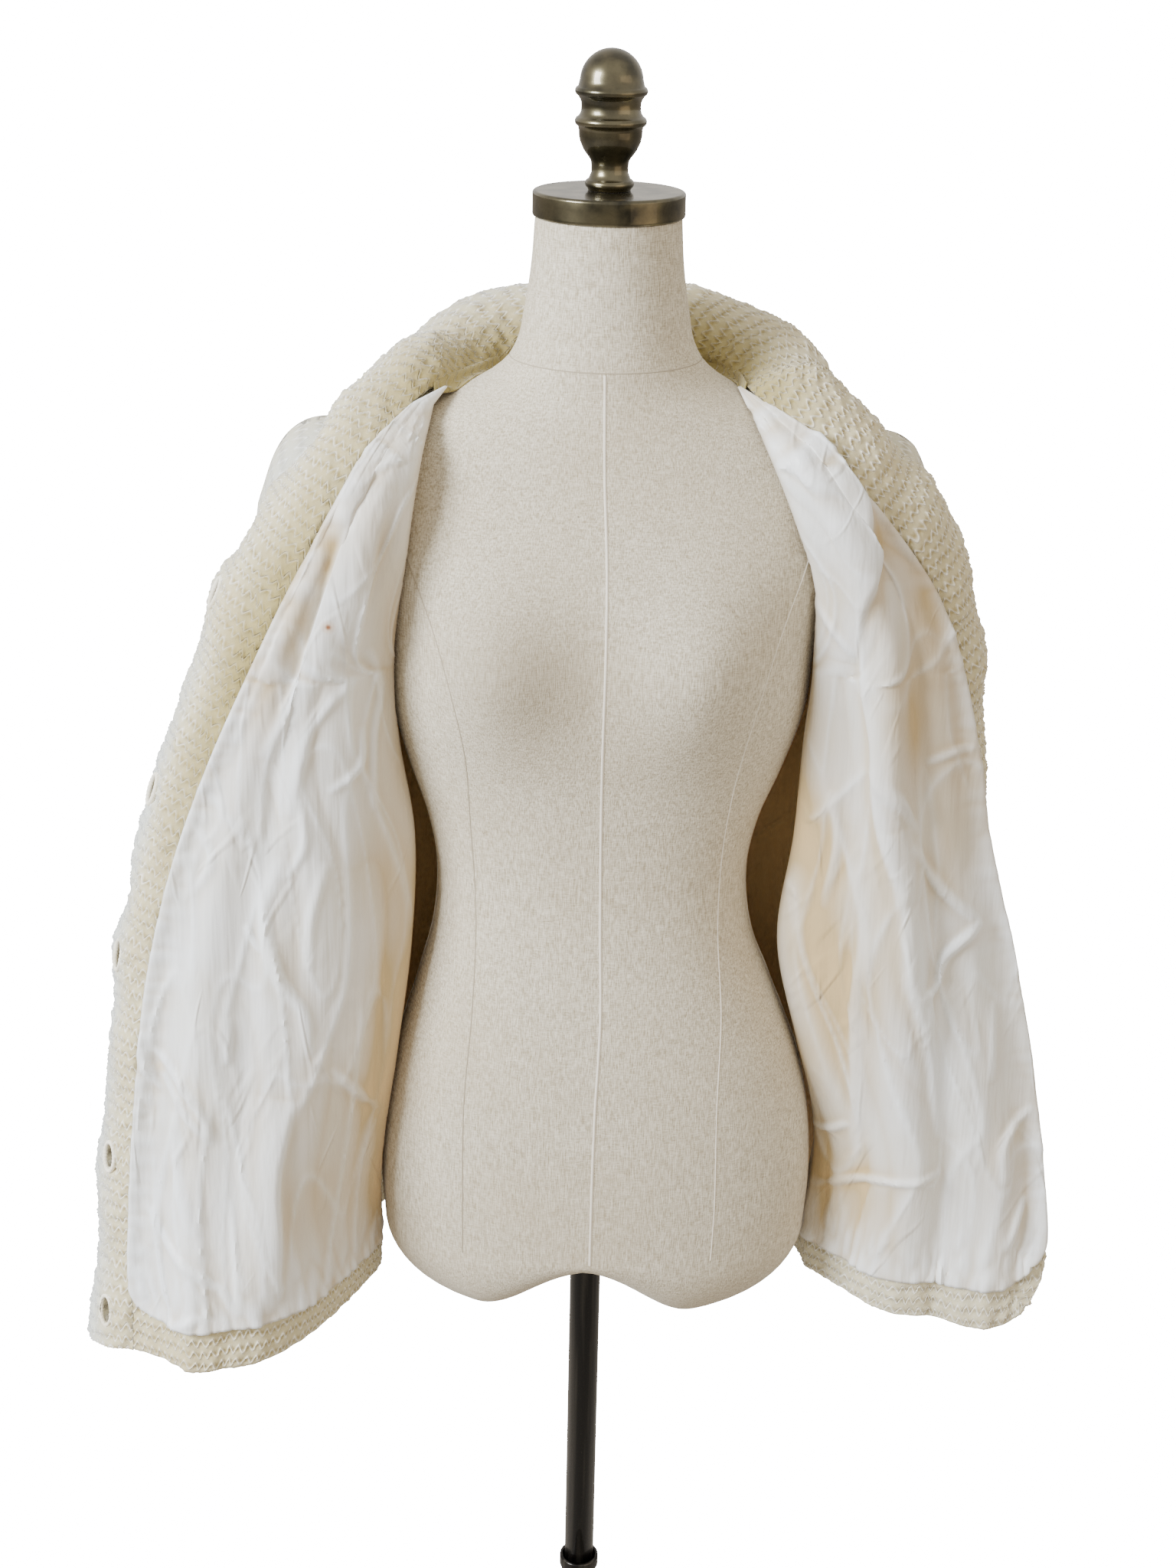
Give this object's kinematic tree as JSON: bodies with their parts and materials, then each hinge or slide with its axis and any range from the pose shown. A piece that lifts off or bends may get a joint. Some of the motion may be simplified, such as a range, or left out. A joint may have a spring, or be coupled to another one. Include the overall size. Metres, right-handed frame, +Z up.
{
  "type": "cardigan on dress form",
  "caption": "Chunky hand-knit ivory cardigan with a silk-like lining, worn wide open on a limbless linen dress form with a brass neck cap, finial and pole.",
  "frame": {"origin": "on the floor, under the middle of the round base", "axes": "+Z up along the pole, -Y towards the open front of the cardigan, +X to the wearer's left"},
  "size_m": [0.7476, 0.36, 1.603],
  "materials": {
    "knit": "matte",
    "lining": "satin",
    "linen": "matte",
    "brass": "polished",
    "dark_metal": "satin",
    "button": "satin"
  },
  "bodies": {
    "base": {"base_plate": "dark_metal", "lower_tube": "dark_metal"},
    "mast": {"upper_pole": "dark_metal"},
    "form": {"form_torso": "linen", "neck_cap": "brass", "finial": "brass", "back": "knit", "right_front": "knit", "left_front": "knit", "right_band": "knit", "left_band": "knit", "right_sleeve": "knit", "left_sleeve": "knit", "right_front_lining": "lining", "left_front_lining": "lining", "back_lining": "lining", "button_1": "button", "button_2": "button", "button_3": "button", "button_4": "button", "button_5": "button"}
  },
  "joints": [
    {"name": "mast_slide", "type": "slide", "parent": "base", "child": "mast", "axis": [0, 0, 1], "range_m": [-0.07, 0.15]},
    {"name": "form_turn", "type": "hinge", "parent": "mast", "child": "form", "pos_m": [0, 0, 0.8], "axis": [0, 0, 1], "continuous": true}
  ]
}
